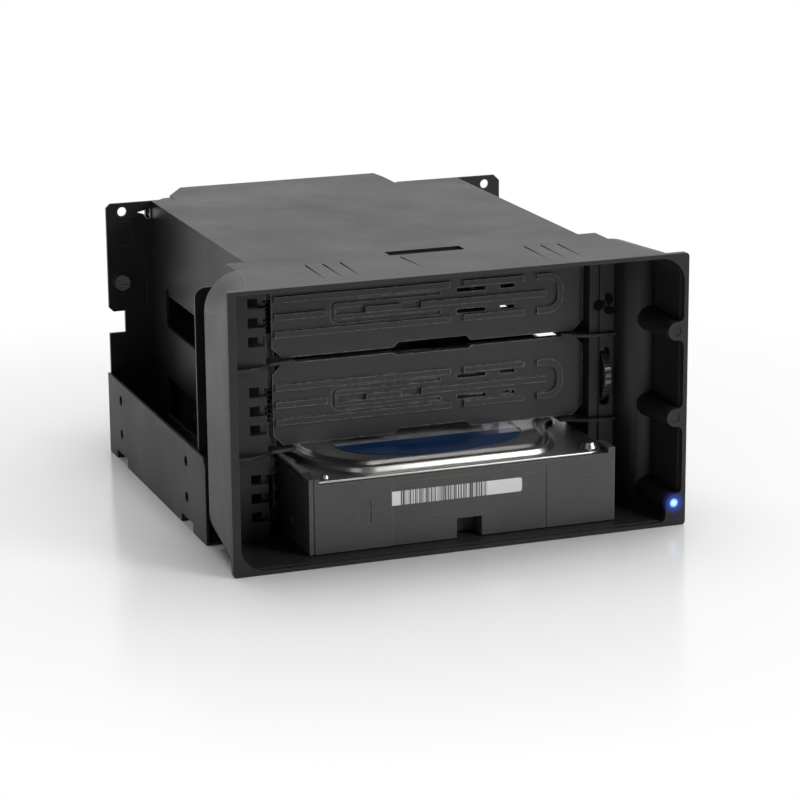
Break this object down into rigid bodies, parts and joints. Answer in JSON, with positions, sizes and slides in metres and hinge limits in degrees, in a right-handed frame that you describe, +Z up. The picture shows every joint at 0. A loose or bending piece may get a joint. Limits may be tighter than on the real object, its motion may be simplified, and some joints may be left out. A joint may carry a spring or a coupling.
{
  "type": "hot swap drive cage",
  "caption": "Tray-less cage that holds desktop hard drives in a computer's front bays, with sprung swing-in doors, a deep hood and a rear fan",
  "frame": {"origin": "centre of the underside of the whole cage's box", "axes": "+X across the front to the right, +Y from the front to the rear, +Z up"},
  "size_m": [0.1494, 0.181, 0.088],
  "materials": {
    "moulding_black": "fine moulded grain",
    "steel_black": "black powder coat",
    "steel_plated": "zinc plated",
    "spring_steel": "bright spring wire",
    "board_green": "solder mask",
    "socket_black": "moulded",
    "socket_white": "moulded",
    "lamp_clear": "clear moulded rod",
    "lamp_blue": "clear blue",
    "fan_black": "moulded",
    "winding": "laminated core",
    "casting": "painted casting",
    "lid": "pressed steel",
    "label": "printed film",
    "sticker": "white film"
  },
  "bodies": {
    "cage": {"front_bezel": "moulding_black", "bay_fascia": "moulding_black", "bezel_screws": "steel_plated", "lamp_board": "board_green", "lamps": "lamp_blue", "speed_control": "socket_black", "hinge_rod": "steel_plated", "cage_shell": "steel_black", "cage_screws": "steel_plated", "tray": "steel_black", "rear_plate": "steel_black", "backplane_board": "board_green", "board_spacers": "steel_plated", "board_screws": "steel_plated", "fan_bracket": "steel_black", "bracket_screws": "steel_plated", "fan_frame": "fan_black", "fan_stator": "winding", "fan_screws": "steel_plated", "light_pipe_1": "lamp_clear", "light_pipe_2": "lamp_clear", "light_pipe_3": "lamp_clear", "guide_rail_left_1": "fan_black", "guide_rail_left_2": "fan_black", "guide_rail_left_3": "fan_black", "guide_rail_right_1": "fan_black", "guide_rail_right_2": "fan_black", "guide_rail_right_3": "fan_black", "drive_socket_1": "socket_black", "drive_socket_2": "socket_black", "drive_socket_3": "socket_black", "data_socket_1": "socket_black", "data_socket_2": "socket_black", "data_socket_3": "socket_black", "power_socket_1": "socket_white", "power_socket_2": "socket_white", "door_spring_1": "spring_steel", "door_spring_2": "spring_steel", "door_spring_3": "spring_steel"},
    "door_1": {"door_1": "moulding_black"},
    "door_2": {"door_2": "moulding_black"},
    "door_3": {"door_3": "moulding_black"},
    "drive": {"drive_base": "casting", "drive_cover": "lid", "drive_cover_screws": "steel_plated", "drive_label": "label", "drive_sticker": "sticker", "drive_board": "board_green", "drive_plug": "socket_black"},
    "fan_rotor": {"fan_rotor": "fan_black"},
    "speed_wheel": {"speed_wheel": "moulding_black"}
  },
  "joints": [
    {"name": "door_1_swing", "type": "hinge", "parent": "cage", "child": "door_1", "pos_m": [-0.0524, -0.0546, 0.07125], "axis": [0, 0, 1], "range_deg": [0, 90], "stiffness_Nm_per_rad": 0.003, "springref_deg": -28.65, "deforming": ["door_spring_1"]},
    {"name": "door_2_swing", "type": "hinge", "parent": "cage", "child": "door_2", "pos_m": [-0.0524, -0.0546, 0.04335], "axis": [0, 0, 1], "range_deg": [0, 90], "stiffness_Nm_per_rad": 0.003, "springref_deg": -28.65, "deforming": ["door_spring_2"]},
    {"name": "door_3_swing", "type": "hinge", "parent": "cage", "child": "door_3", "pos_m": [-0.0524, -0.0546, 0.01545], "axis": [0, 0, 1], "range_deg": [0, 0.9], "stiffness_Nm_per_rad": 0.003, "springref_deg": -118.6, "deforming": ["door_spring_3"]},
    {"name": "drive_slide", "type": "slide", "parent": "cage", "child": "drive", "axis": [0, -1, 0], "range_m": [0, 0.155]},
    {"name": "fan_spin", "type": "hinge", "parent": "cage", "child": "fan_rotor", "pos_m": [-0.0075, 0.083, 0.0415], "axis": [0, 1, 0], "continuous": true},
    {"name": "speed_wheel_turn", "type": "hinge", "parent": "cage", "child": "speed_wheel", "pos_m": [0.0589, -0.0565, 0.04335], "axis": [1, 0, 0], "range_deg": [-135, 135]}
  ]
}
